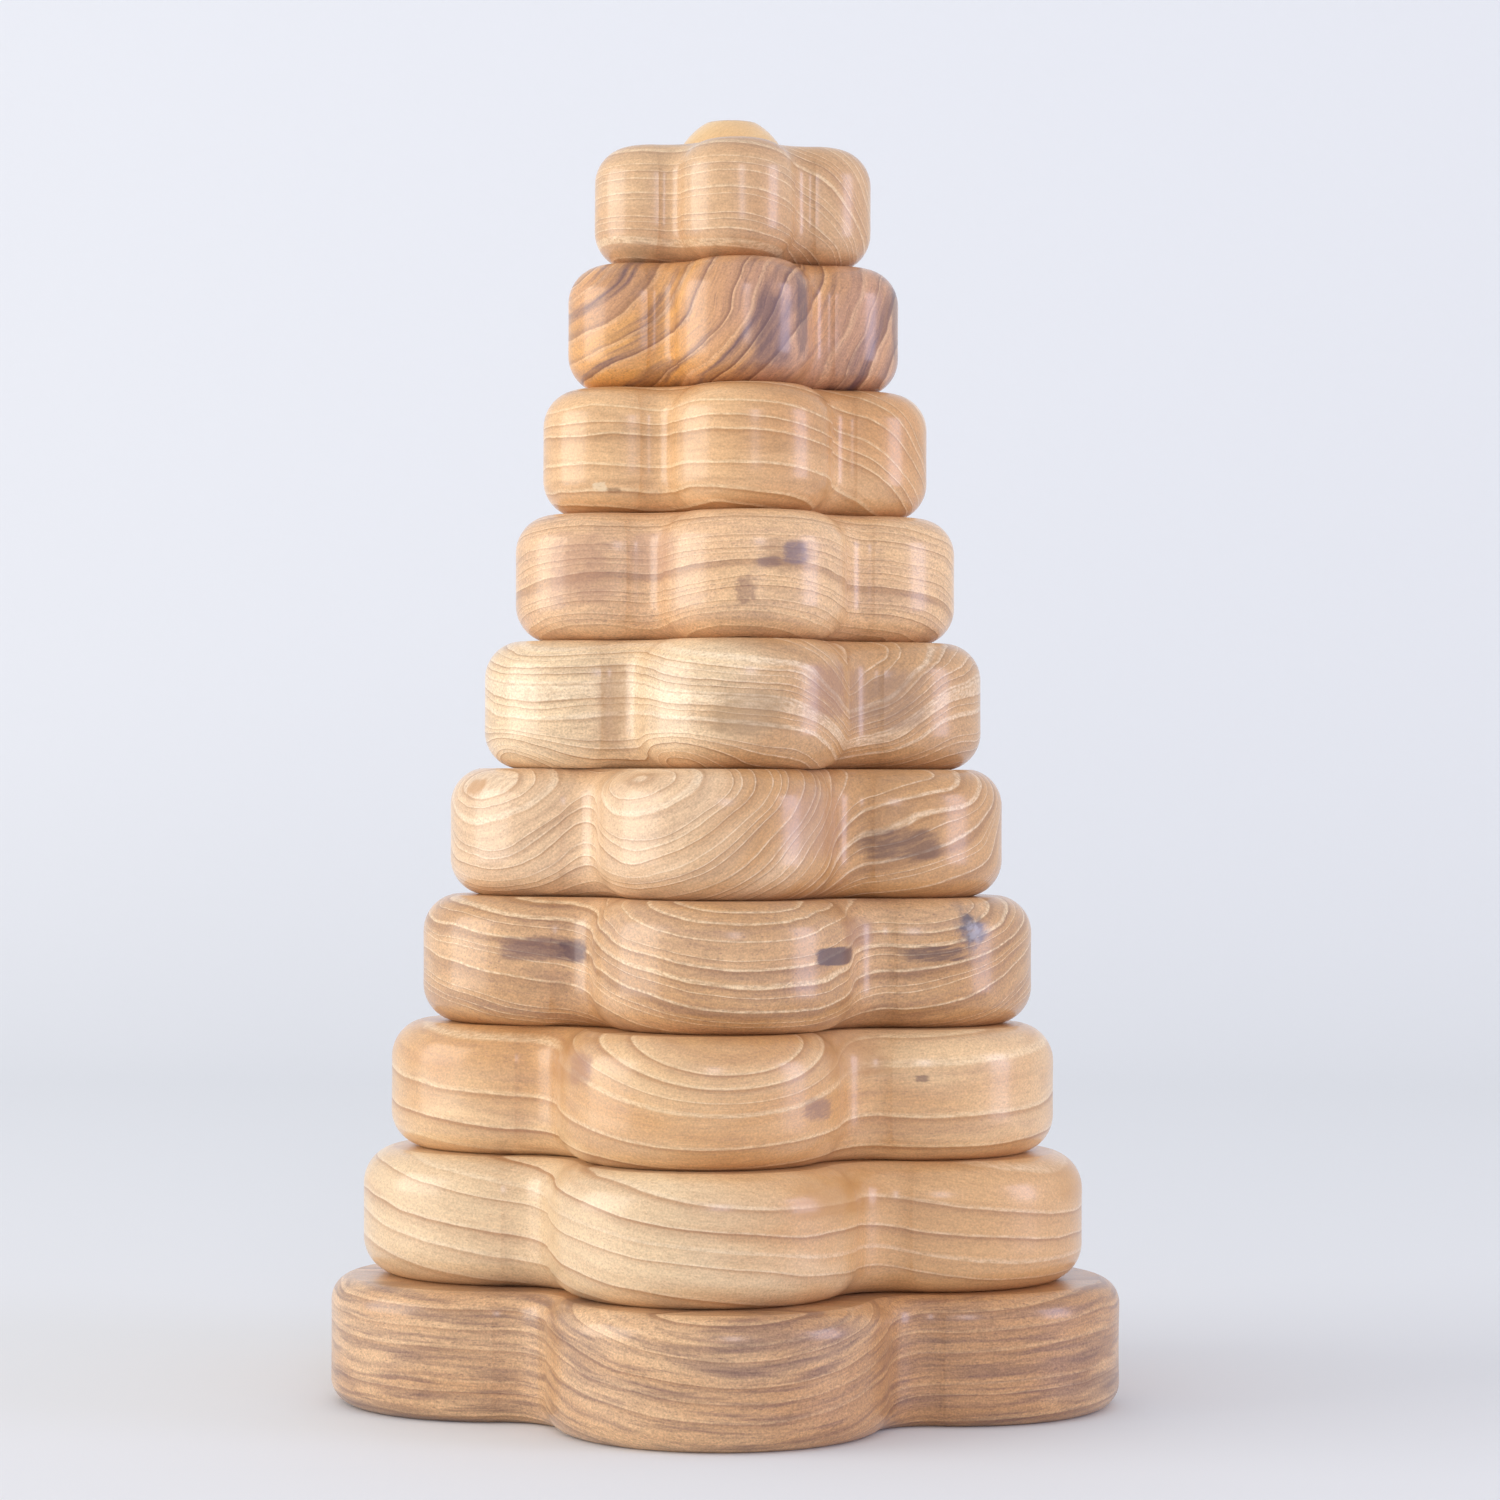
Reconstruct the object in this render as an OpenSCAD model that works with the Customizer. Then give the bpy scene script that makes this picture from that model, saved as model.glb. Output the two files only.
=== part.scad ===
// Scalloped ring puzzle: ten five-lobed hardwood rings stacked on one peg.
// The lowest ring is the foot, and the peg is glued into it.
// The nine loose rings lift off over the peg's rounded end, the top one first.
// Millimetres, +Z up. The origin is on the peg's axis, at the underside of the foot.

/* [Rings] */
// Reach of the foot's lobes from the peg's axis
base_reach = 64.3; // [55:0.1:90]
// Reach of the lobes of the largest loose ring
largest_reach = 58.9; // [50:0.1:85]
// Reach of the lobes of the smallest loose ring, the top one
smallest_reach = 22.9; // [19:0.1:40]
// Thickness of the foot
base_thickness = 20; // [14:0.2:30]
// Thickness of each loose ring below the top one
ring_thickness = 20; // [14:0.2:30]
// Thickness of the top ring, which is sanded a little thinner
top_ring_thickness = 19.2; // [12:0.2:30]

/* [Scallops] */
// Number of lobes round each ring
lobe_count = 5; // [4:1:7]
// Distance of a lobe's centre from the peg's axis, as a share of the ring's reach
lobe_centre_share = 0.585; // [0.5:0.005:0.65]
// Radius of the hollow between two lobes, as a share of the ring's reach
hollow_share = 0.11; // [0.06:0.01:0.2]

/* [Edges] */
// Rounding of the loose rings' upper and lower edges
edge_radius = 6; // [1:0.1:8]
// Rounding of the foot's upper and lower edges, which are crisper
base_edge_radius = 4; // [1:0.1:8]
// Bevel that takes the sharp edge off each end of a hole
hole_bevel = 0.8; // [0.2:0.1:2]

/* [Peg] */
// Diameter of the peg
peg_diameter = 16; // [10:0.2:22]
// Height of the peg's tip above the top ring
peg_showing = 4.8; // [2:0.1:20]
// Rounding of the peg's tip
tip_radius = 3.8; // [1:0.1:6]
// Bevel at the peg's buried end
peg_bevel = 1; // [0.2:0.1:2]
// Wood left in the foot under the peg
floor_under_peg = 5; // [3:0.5:10]
// Gap all round between the peg and a loose ring's hole
ring_clearance = 0.5; // [0.3:0.05:1.5]
// Gap under each loose ring, because sanded faces never meet all over
seat_gap = 0.03; // [0.02:0.01:0.3]

/* [Turn of each ring on the peg] */
// Turn of the foot, in degrees
base_turn = -2; // [-36:0.5:36]
// Turn of ring 2, the largest loose ring
turn_02 = -5.5; // [-36:0.5:36]
// Turn of ring 3
turn_03 = -7; // [-36:0.5:36]
// Turn of ring 4
turn_04 = -1.5; // [-36:0.5:36]
// Turn of ring 5
turn_05 = -4; // [-36:0.5:36]
// Turn of ring 6
turn_06 = 5; // [-36:0.5:36]
// Turn of ring 7
turn_07 = 9; // [-36:0.5:36]
// Turn of ring 8
turn_08 = 9; // [-36:0.5:36]
// Turn of ring 9
turn_09 = 6; // [-36:0.5:36]
// Turn of ring 10, the top ring
turn_10 = 4; // [-36:0.5:36]

/* [Hidden] */
$fn = 96;

// Number of the largest loose ring and of the top ring, counting the foot as 1.
first_ring = 2;
top_ring = 10;
turns = [turn_02, turn_03, turn_04, turn_05, turn_06, turn_07, turn_08, turn_09, turn_10];

// Angle between a lobe and the hollow beside it.
half_pitch = 180 / lobe_count;
// Radius of a loose ring's hole.
hole_radius = peg_diameter / 2 + ring_clearance;
// Flat wood left on a ring's face between the hole's bevel and the rounded edge.
narrowest_land = 1;
// Share of a ring's thickness that one rounded edge may take.
widest_edge_share = 0.45;
// How far a hollow's circle cuts into the circles of the lobes beside it.
hollow_bite = 0.12;
// Rounding of a hollow's edges, as a share of the lobes' rounding.
hollow_edge_share = 1.05;
// How far past its hollows each lobe runs on inside the ring's heart, in degrees.
lobe_overlap = 8;
// How far the heart of a ring reaches past the lobes' centres, as a factor.
heart_overlap = 1.06;
// Angle at which a rounded edge runs out into the flat face.
edge_run_out = 12;
// How far a cutting shape passes the face it opens, so that no skin is left.
overshoot = 1;

// Reach of loose ring k: even steps from the largest to the smallest.
function reach(k) =
    largest_reach - (k - first_ring) * (largest_reach - smallest_reach) / (top_ring - first_ring);

// Thickness of loose ring k.
function thickness(k) = k == top_ring ? top_ring_thickness : ring_thickness;

// Height of loose ring k's lower face.
function seat(k) =
    base_thickness + seat_gap + (k - first_ring) * (ring_thickness + seat_gap);

// Distances from the peg's axis, for a ring of a given reach.
function lobe_centre(reach) = lobe_centre_share * reach;
function lobe_radius(reach) = reach - lobe_centre(reach);
function hollow_radius(reach) = hollow_share * reach;
// The hollow's circle touches the circles of the lobes on both sides of it.
function hollow_centre(reach) =
    let (across = lobe_centre(reach) * sin(half_pitch),
         gap = lobe_radius(reach) + hollow_radius(reach) - hollow_bite)
    lobe_centre(reach) * cos(half_pitch) + sqrt(gap * gap - across * across);
function hollow_floor(reach) = hollow_centre(reach) - hollow_radius(reach);

// How much of a rounding's full quarter turn is left off where it runs out into the face.
function edge_lift(rounding) = rounding * (1 - cos(edge_run_out));

// The rounding a ring can carry: never so large that it meets the hole or the other edge.
function edge(reach, wanted, thick) =
    min(wanted, widest_edge_share * thick,
        hollow_floor(reach) - hole_radius - hole_bevel - narrowest_land);

stack_top = seat(top_ring) + top_ring_thickness;
peg_foot = min(floor_under_peg, base_thickness / 2);
peg_top = stack_top + peg_showing;

// Half of a rounded plate's cross-section, out to the given radius.
// Its faces stand proud of the finished ring's, which trims the run-out of the rounding.
module plate_section(radius, thick, rounding) {
    proud = edge_lift(rounding);
    square([radius - rounding, thick + proud]);
    translate([0, -proud]) square([radius - rounding, thick + proud]);
    translate([0, rounding - proud]) square([radius, thick - 2 * (rounding - proud)]);
    for (z = [rounding - proud, thick - rounding + proud])
        translate([radius - rounding, z])
            intersection() {
                circle(r = rounding);
                translate([0, -rounding]) square([rounding, 2 * rounding]);
            }
}

// The same rounding turned inside out: what is cut away to leave a hollow.
module hollow_section(radius, thick, rounding) {
    proud = edge_lift(rounding);
    difference() {
        translate([0, -overshoot]) square([radius + rounding, thick + 2 * overshoot]);
        translate([radius, rounding - proud]) square([rounding + overshoot, thick - 2 * (rounding - proud)]);
        for (z = [rounding - proud, thick - rounding + proud])
            translate([radius + rounding, z]) circle(r = rounding);
    }
}

// One lobe: a rounded plate turned about the lobe's own centre, between its two hollows.
module lobe(reach, thick, rounding) {
    centre = lobe_centre(reach);
    far = hollow_centre(reach);
    spread = lobe_overlap + atan2(far * sin(half_pitch), far * cos(half_pitch) - centre);
    translate([centre, 0, 0])
        rotate([0, 0, -spread])
            rotate_extrude(angle = 2 * spread)
                plate_section(lobe_radius(reach), thick, rounding);
}

// The star-shaped heart of a ring, from each hollow's centre to just beyond each lobe's centre.
module heart(reach, thick) {
    near = lobe_centre(reach) * heart_overlap;
    far = hollow_centre(reach);
    translate([0, 0, -overshoot])
        linear_extrude(height = thick + 2 * overshoot)
            polygon([for (k = [0 : 2 * lobe_count - 1])
                (k % 2 == 0 ? near : far) * [cos(k * half_pitch), sin(k * half_pitch)]]);
}

// A scalloped plate without its hole, turned so that one lobe faces -Y at no turn.
module scalloped_plate(reach, thick, wanted_edge, turn) {
    rounding = edge(reach, wanted_edge, thick);
    rotate([0, 0, turn - 90])
        intersection() {
            difference() {
                union() {
                    heart(reach, thick);
                    for (k = [0 : lobe_count - 1])
                        rotate([0, 0, 2 * k * half_pitch]) lobe(reach, thick, rounding);
                }
                for (k = [0 : lobe_count - 1])
                    rotate([0, 0, (2 * k + 1) * half_pitch])
                        translate([hollow_centre(reach), 0, 0])
                            rotate_extrude()
                                hollow_section(hollow_radius(reach), thick, hollow_edge_share * rounding);
            }
            cylinder(r = reach + overshoot, h = thick);
        }
}

// The bevel at a hole's mouth, opening upward from the depth of the bevel.
module mouth_bevel(radius) {
    translate([0, 0, -hole_bevel])
        cylinder(r1 = radius, r2 = radius + hole_bevel + overshoot, h = hole_bevel + overshoot);
}

// A loose ring: the scalloped plate with a bevelled hole right through it.
module loose_ring(k) {
    thick = thickness(k);
    translate([0, 0, seat(k)])
        difference() {
            scalloped_plate(reach(k), thick, edge_radius, turns[k - first_ring]);
            translate([0, 0, -overshoot])
                cylinder(r = hole_radius, h = thick + 2 * overshoot);
            translate([0, 0, thick]) mouth_bevel(hole_radius);
            mirror([0, 0, 1]) mouth_bevel(hole_radius);
        }
}

// The foot, with the blind socket that the peg is glued into.
module base_ring() {
    color("#6b4a33")
        difference() {
            scalloped_plate(base_reach, base_thickness, base_edge_radius, base_turn);
            translate([0, 0, peg_foot])
                cylinder(d = peg_diameter, h = base_thickness - peg_foot + overshoot);
            translate([0, 0, base_thickness]) mouth_bevel(peg_diameter / 2);
        }
}

// The peg, with its buried end bevelled and its tip rounded.
module peg() {
    radius = peg_diameter / 2;
    color("#e3bd78")
        rotate_extrude() {
            polygon([[0, peg_foot],
                     [radius - peg_bevel, peg_foot],
                     [radius, peg_foot + peg_bevel],
                     [radius, peg_top - tip_radius],
                     [0, peg_top - tip_radius]]);
            translate([0, peg_top - tip_radius]) square([radius - tip_radius, tip_radius]);
            translate([radius - tip_radius, peg_top - tip_radius])
                intersection() {
                    circle(r = tip_radius);
                    square(tip_radius);
                }
        }
}

module ring_02() { color("#cfae82") loose_ring(2); }
module ring_03() { color("#bf9363") loose_ring(3); }
module ring_04() { color("#b08a68") loose_ring(4); }
module ring_05() { color("#d3b48a") loose_ring(5); }
module ring_06() { color("#c9b094") loose_ring(6); }
module ring_07() { color("#b98d6b") loose_ring(7); }
module ring_08() { color("#c3935c") loose_ring(8); }
module ring_09() { color("#9c6f4c") loose_ring(9); }
module ring_10() { color("#b9a184") loose_ring(10); }

base_ring();
peg();
ring_02();
ring_03();
ring_04();
ring_05();
ring_06();
ring_07();
ring_08();
ring_09();
ring_10();
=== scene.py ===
"""A stacking puzzle of ten scalloped hardwood rings on a round peg, dressed for rendering."""

import logging
import math
from collections.abc import Sequence
from dataclasses import dataclass, field
from enum import Enum
from typing import Any

import bpy
import numpy as np
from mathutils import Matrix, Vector


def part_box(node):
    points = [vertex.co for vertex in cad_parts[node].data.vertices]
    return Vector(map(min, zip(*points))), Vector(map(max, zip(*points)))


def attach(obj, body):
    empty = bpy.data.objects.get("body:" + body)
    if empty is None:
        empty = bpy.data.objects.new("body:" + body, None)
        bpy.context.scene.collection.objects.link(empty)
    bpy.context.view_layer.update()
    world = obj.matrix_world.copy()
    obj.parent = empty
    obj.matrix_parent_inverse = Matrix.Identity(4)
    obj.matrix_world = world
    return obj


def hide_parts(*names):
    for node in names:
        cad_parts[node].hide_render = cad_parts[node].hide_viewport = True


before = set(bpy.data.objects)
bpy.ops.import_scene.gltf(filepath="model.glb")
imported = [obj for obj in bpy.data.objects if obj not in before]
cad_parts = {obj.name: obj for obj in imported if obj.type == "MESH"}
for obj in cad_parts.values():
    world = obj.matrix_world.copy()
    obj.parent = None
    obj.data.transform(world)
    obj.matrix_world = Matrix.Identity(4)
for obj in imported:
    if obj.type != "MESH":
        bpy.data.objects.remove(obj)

LOG = logging.getLogger("scene")
MM = 0.001
Socket = bpy.types.NodeSocket
Sizes = tuple[float, float, float]

LOBES = 5
HALF_PITCH = math.pi / LOBES
FULL_PITCH = 2 * HALF_PITCH
# Shares of a ring's reach, as the solid rings have them.
LOBE_CENTRE_SHARE = 0.585
HOLLOW_SHARE = 0.11
# How far a lobe and its hollow cut into each other, in mm.
HOLLOW_BITE_MM = 0.12
HOLE_BEVEL_MM = 0.8
# A closed face ends in a circle of this radius instead of a point.
CENTRE_MM = 0.02
# An edge's rounding stops this short of flat, where it meets a ring's faces.
RUN_OUT = math.radians(12)
# Where a hollow meets a lobe the wall turns by about 14 degrees, and nowhere else so sharply.
RING_CREASE = math.radians(10)
PEG_CREASE = math.radians(40)
# Rows across a ring's flat faces, as shares of the way from the hole's mouth to the rim.
FACE_ROWS = (0.0, 0.5, 0.96)
# Unevenness left by a hand at the sander: waves round the ring, and turn per mm of height.
HAND_WAVES = ((3, 0.10), (7, 0.19), (11, 0.13), (17, 0.24))

# Size of each pattern's grains in mm: along the grain, across it, and up through the growth rings.
BOARD_BEND = (70.0, 26.0, 20.0)
RIPPLE = (16.0, 6.0, 6.0)
TREMBLE = (4.0, 2.0, 2.0)
HEARTWOOD = (55.0, 26.0, 14.0)
STAIN = (25.0, 16.0, 2.5)
# Bundles of fibre. Single fibres are about 0.03 mm across and wouldn't show, so these are coarser.
FIBRE = (2.2, 0.5, 0.35)
# The tooth that 120 grit leaves is about 0.12 mm wide, and it is drawn coarser so that it shows.
GRIT = (0.32, 0.32, 0.32)
# One open pore to each cell of this size: a fleck about 0.3 mm wide and 0.9 mm long.
PORE = (1.7, 0.6, 0.5)

# Most values of a noise lie between these.
NOISE_LOW, NOISE_HIGH = 0.3, 0.7
# Ramps, as pairs of a position and a grey. The first two run through one year, from spring on.
LATE_WOOD = ((0.0, 0.0), (0.40, 0.10), (0.78, 0.42), (0.93, 1.0), (0.975, 0.85), (1.0, 0.0))
PORE_ROW = ((0.0, 1.0), (0.06, 0.8), (0.15, 0.0), (0.96, 0.0), (1.0, 1.0))
HEARTWOOD_BORDER = ((0.38, 0.0), (0.62, 1.0))
STAIN_BORDER = ((0.50, 0.0), (0.68, 1.0))
STREAK_BORDER = ((0.48, 0.0), (0.66, 1.0))
PORE_BORDER = ((0.10, 1.0), (0.26, 0.0))
HEARTWOOD_AMOUNT = 0.9
# How unevenly thick the years are: how often their thickness swings, and how far, in years.
SWINGS_PER_YEAR = 0.45
SWING_YEARS = 2.6
# The noise is the same at every whole number, so the years are read off it this far apart.
YEAR_STEP = 1.37

# Oil rubbed in and cured leaves a thin, satin coat, which refracts about as linseed oil does.
OIL_IOR = 1.5
OIL_COAT = 0.65
OIL_ROUGHNESS = 0.19
# Late wood and pores stand this much above and below the sanded face.
RELIEF_MM = 0.04
RELIEF_STRENGTH = 0.5

# Settings of a node that mixes two colours, and of one that shades a colour.
MIX = {"data_type": "RGBA"}
SHADE = {"data_type": "RGBA", "blend_type": "MULTIPLY"}


def linear(hex_colour: str) -> tuple[float, float, float, float]:
    """Turns an sRGB hex colour into linear RGBA for a shader socket.

    Args:
        hex_colour: six hex digits, such as "c8a070".

    Returns:
        Red, green, blue and an alpha of 1.
    """
    parts = [int(hex_colour[i:i + 2], 16) / 255 for i in (0, 2, 4)]
    rgb = [p / 12.92 if p <= 0.04045 else ((p + 0.055) / 1.055) ** 2.4 for p in parts]
    return (rgb[0], rgb[1], rgb[2], 1.0)


def make_object(name: str, vertices: Sequence[Sequence[float]], faces: Sequence[tuple[int, ...]],
                crease: float | None = None) -> bpy.types.Object:
    """Makes an object with a smooth mesh and links it to the scene.

    Args:
        name: name of the object and of its mesh.
        vertices: corners, in metres.
        faces: each face's vertices by number.
        crease: the turn between two faces, in radians, from which their edge is sharp.

    Returns:
        The object.
    """
    mesh = bpy.data.meshes.new(name)
    mesh.from_pydata(vertices, [], faces)
    mesh.polygons.foreach_set("use_smooth", [True] * len(mesh.polygons))
    if crease is not None:
        mesh.set_sharp_from_angle(angle=crease)
    mesh.validate()
    made = bpy.data.objects.new(name, mesh)
    bpy.context.scene.collection.objects.link(made)
    return made


class Surface(Enum):
    """How a face of the wood was finished, with its roughness."""

    OILED = 0.40
    WAXED = 0.34


@dataclass(frozen=True)
class Swirl:
    """A place where the growth rings bulge, as they do beside a branch or near the pith.

    turn is degrees round the ring from its front, positive to the right; out is the distance from
    the peg's axis and up the height above the ring's middle, all in mm; lift is how far the growth
    surfaces are pushed down there, and across, through and tall are the bulge's half sizes.
    """

    turn: float
    out: float
    up: float
    lift: float
    across: float
    through: float
    tall: float


@dataclass(frozen=True)
class Mark:
    """A knot or a stain: where it is, its half width and height in mm, its colour and its border.

    strength is how much of the wood's own colour it covers, ragged how torn its border is, and
    soft how widely its colour fades there, up to 0.5. square says whether it has the square ends
    of a stain that a sander cut off short.
    """

    turn: float
    up: float
    wide: float
    tall: float
    colour: str
    strength: float
    ragged: float = 0.8
    soft: float = 0.42
    square: bool = True


@dataclass(frozen=True)
class WoodFinish:
    """The look of one board: its growth rings, its colours and its flaws. Sizes are in mm.

    early, late and line are the colours of spring wood, late wood and the row of pores between two
    years; stain and warm those of its streaks and of its heartwood. spacing is one year's growth.
    rise_right and rise_front say how steeply the growth surfaces climb to the right and to the
    front, and warp how much they wander. line_depth, pale_line, stain_amount, streak and speckle
    say how strongly each shows. A board cut near its pith has curved rings: pith says how far that
    axis lies to the right of the peg and above the ring's middle, and rise_front then how quickly
    the rings close up from front to back. One more setting pushes the heartwood towards the right,
    the same way on every ring, so that it also paints the darker, warmer shade of the right flank;
    the larger it is, the more the heartwood keeps to the right.
    """

    name: str
    early: str
    late: str
    line: str
    stain: str
    warm: str
    spacing: float
    rise_right: float
    rise_front: float
    warp: float = 2.0
    line_depth: float = 0.5
    pale_line: float = 0.3
    stain_amount: float = 0.2
    streak: float = 0.25
    streak_size: Sizes = (8.0, 6.0, 0.8)
    speckle: float = 0.2
    surface: Surface = Surface.OILED
    # Pushes the heartwood to the right, which also paints the shade of the right flank.
    shade_and_heartwood_right: float = 0.0
    pith: tuple[float, float] | None = None
    swirls: tuple[Swirl, ...] = ()
    marks: tuple[Mark, ...] = ()
    seed: float = 0.0


class Graph:
    """A material's node tree, with one way to add a node."""

    def __init__(self, name: str) -> None:
        """Makes an empty material.

        Args:
            name: the material's name.
        """
        self.material = bpy.data.materials.new(name)
        self.material.use_nodes = True
        self.tree = self.material.node_tree
        self.tree.nodes.clear()

    def add(self, kind: str, settings: dict[str, Any] | None = None,
            inputs: dict[Any, Any] | None = None, out: Any = 0) -> Any:
        """Adds a node and returns one of its outputs.

        Args:
            kind: the node's type without "ShaderNode", such as "Math".
            settings: values for the node's own properties, and for a ramp its "stops", each a
                position and a grey.
            inputs: input name or number to a value or to another node's output.
            out: name or number of the output to return.

        Returns:
            The output socket, or the node itself where out is None.
        """
        node = self.tree.nodes.new("ShaderNode" + kind)
        settings = dict(settings or {})
        stops = settings.pop("stops", ())
        for key, value in settings.items():
            setattr(node, key, value)
        for i, (place, grey) in enumerate(stops):
            elements = node.color_ramp.elements
            stop = elements[i] if i < len(elements) else elements.new(place)
            stop.position, stop.color = place, (grey, grey, grey, 1.0)
        for key, value in (inputs or {}).items():
            if isinstance(value, Socket):
                self.tree.links.new(value, node.inputs[key])
            else:
                node.inputs[key].default_value = value
        return node if out is None else node.outputs[out]


class Wood:
    """Solid wood whose figure runs through the piece, so that every cut face agrees."""

    def __init__(self, finish: WoodFinish, reach: float, middle: float, turn: float) -> None:
        """Keeps what the pattern is measured from.

        Args:
            finish: the board's look.
            reach: the piece's reach from the peg's axis, in mm.
            middle: the height of the piece's middle, in mm.
            turn: the piece's turn on the peg, in radians.
        """
        self.finish = finish
        self.reach = reach
        self.middle = middle
        self.turn = turn
        self.graph = Graph(finish.name)

    def _skin(self, turn: float) -> float:
        """Finds where the ring's wall stands.

        Args:
            turn: degrees round from the ring's front.

        Returns:
            The wall's distance from the peg's axis there, in mm.
        """
        angle = (math.radians(turn) - self.turn + HALF_PITCH) % FULL_PITCH - HALF_PITCH
        centre = LOBE_CENTRE_SHARE * self.reach
        lobe = self.reach - centre
        aside = centre * math.sin(angle)
        return centre * math.cos(angle) + math.sqrt(max(lobe ** 2 - aside ** 2, 0.0))

    def _place(self, turn: float, out: float, up: float) -> Sizes:
        """Turns a place on the ring into a point.

        Args:
            turn: degrees round from the ring's front.
            out: distance from the peg's axis, in mm.
            up: height above the ring's middle, in mm.

        Returns:
            The point in mm.
        """
        angle = math.radians(turn - 90)
        return (out * math.cos(angle), out * math.sin(angle), self.middle + up)

    def _near(self, point: Socket, centre: Sizes, turn: float, sizes: Sizes,
              square: bool = False) -> Socket:
        """Adds a bell that is 1 at a place in the wood and fades with distance.

        Args:
            point: the position output, in mm.
            centre: the bell's middle, in mm.
            turn: degrees round the front, which turns the bell to face outward.
            sizes: half sizes across, through and up, in mm.
            square: whether the bell has square shoulders.

        Returns:
            The bell's value output.
        """
        add = self.graph.add
        local = add("Mapping", {"vector_type": "TEXTURE"},
                    {"Vector": point, "Location": centre,
                     "Rotation": (0.0, 0.0, math.radians(turn)), "Scale": sizes})
        if square:
            local = add("VectorMath", {"operation": "MULTIPLY"}, {0: local, 1: local})
        squared = add("VectorMath", {"operation": "DOT_PRODUCT"}, {0: local, 1: local}, "Value")
        minus = add("Math", {"operation": "MULTIPLY"}, {0: squared, 1: -1.0})
        return add("Math", {"operation": "EXPONENT"}, {0: minus})

    def _noise(self, point: Socket, sizes: Sizes, detail: float, seed: float) -> Socket:
        """Adds noise whose grains have a real size.

        Args:
            point: the position output, in mm, turned to the grain.
            sizes: size of one grain of the noise along each direction, in mm.
            detail: octaves of finer noise.
            seed: shifts the pattern.

        Returns:
            The noise's value output, centred on 0.5.
        """
        add = self.graph.add
        # Three unlike steps, so that no two seeds meet the same noise.
        shift = (seed * 91.7, seed * 37.3, seed * 53.9)
        scaled = add("Mapping", {"vector_type": "TEXTURE"},
                     {"Vector": point, "Location": shift, "Scale": sizes})
        return add("TexNoise", inputs={"Vector": scaled, "Scale": 1.0, "Detail": detail,
                                       "Roughness": 0.55})

    def _growth(self, point: Socket) -> Socket:
        """Says how far each point of the wood lies above one growth surface.

        Args:
            point: the position output, in mm.

        Returns:
            The level's value output, in mm.
        """
        f, add = self.finish, self.graph.add
        if f.pith:
            right, above = f.pith
            out = add("VectorMath", {"operation": "SUBTRACT"},
                      {0: point, 1: (right, 0.0, self.middle + above)})
            out = add("VectorMath", {"operation": "MULTIPLY"}, {0: out, 1: (1.0, f.rise_front, 1.0)})
            level = add("VectorMath", {"operation": "LENGTH"}, {0: out}, "Value")
        else:
            level = add("VectorMath", {"operation": "DOT_PRODUCT"},
                        {0: point, 1: (-f.rise_right, f.rise_front, 1.0)}, "Value")
        for s in f.swirls:
            bell = self._near(point, self._place(s.turn, s.out, s.up), s.turn,
                              (s.across, s.through, s.tall))
            level = add("Math", {"operation": "MULTIPLY_ADD"}, {0: bell, 1: s.lift, 2: level})
        # The board's slow bend is the largest, and each finer wave moves the surfaces less.
        waves = ((BOARD_BEND, 2.0, 1, 4.0), (RIPPLE, 2.0, 2, 0.5), (TREMBLE, 1.0, 8, 0.12))
        for sizes, detail, seed, share in waves:
            noise = self._noise(point, sizes, detail, f.seed + seed)
            shift = add("Math", {"operation": "SUBTRACT"}, {0: noise, 1: 0.5})
            level = add("Math", {"operation": "MULTIPLY_ADD"}, {0: shift, 1: share * f.warp, 2: level})
        return level

    def _years(self, level: Socket) -> tuple[Socket, Socket]:
        """Splits the level into years of growth, some thick and some thin.

        Args:
            level: distance above one growth surface, in mm.

        Returns:
            How far through its year each point grew, from 0 to 1, and how dark that year ends.
        """
        f, add = self.finish, self.graph.add
        uneven = add("TexNoise", {"noise_dimensions": "1D"},
                     {"W": level, "Scale": SWINGS_PER_YEAR / f.spacing, "Detail": 1.0})
        phase = add("Math", {"operation": "MULTIPLY"}, {0: level, 1: 1 / f.spacing})
        phase = add("Math", {"operation": "MULTIPLY_ADD"}, {0: uneven, 1: SWING_YEARS, 2: phase})
        through = add("Math", {"operation": "FRACT"}, {0: phase})
        year = add("Math", {"operation": "FLOOR"}, {0: phase})
        vigour = add("TexNoise", {"noise_dimensions": "1D"},
                     {"W": year, "Scale": YEAR_STEP, "Detail": 0.0})
        # The poorest year ends a quarter as dark as the best, whose dark line is also wider.
        strength = add("MapRange", inputs={"Value": vigour, "From Min": 0.25, "From Max": 0.75,
                                           "To Min": 0.25, "To Max": 1.25})
        return through, strength

    def _late_wood(self, through: Socket, strength: Socket) -> Socket:
        """Says how much late wood each point holds.

        Args:
            through: how far through its year each point grew.
            strength: how dark that year ends.

        Returns:
            The amount's value output, from 0 to 1.
        """
        add = self.graph.add
        late = add("ValToRGB", {"stops": LATE_WOOD}, {"Fac": through})
        late = add("Math", {"operation": "MULTIPLY", "use_clamp": True}, {0: late, 1: strength})
        return add("Math", {"operation": "MULTIPLY"}, {0: late, 1: self.finish.line_depth})

    def _heartwood(self, point: Socket, grain: Socket, late: Socket) -> Socket:
        """Colours the growth rings, with heartwood that drifts in and is pushed towards the right, a push
        that paints the darker, warmer shade of the right flank.

        Args:
            point: the position output, in mm.
            grain: the same, with its height above the growth surface.
            late: the amount of late wood.

        Returns:
            The colour output.
        """
        f, add = self.finish, self.graph.add
        pale = add("Mix", MIX, {0: late, 6: linear(f.early), 7: linear(f.late)}, 2)
        warm = add("Mix", MIX, {0: late, 6: linear(f.warm), 7: linear(f.late)}, 2)
        drift = self._noise(grain, HEARTWOOD, 3.0, f.seed + 3)
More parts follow.
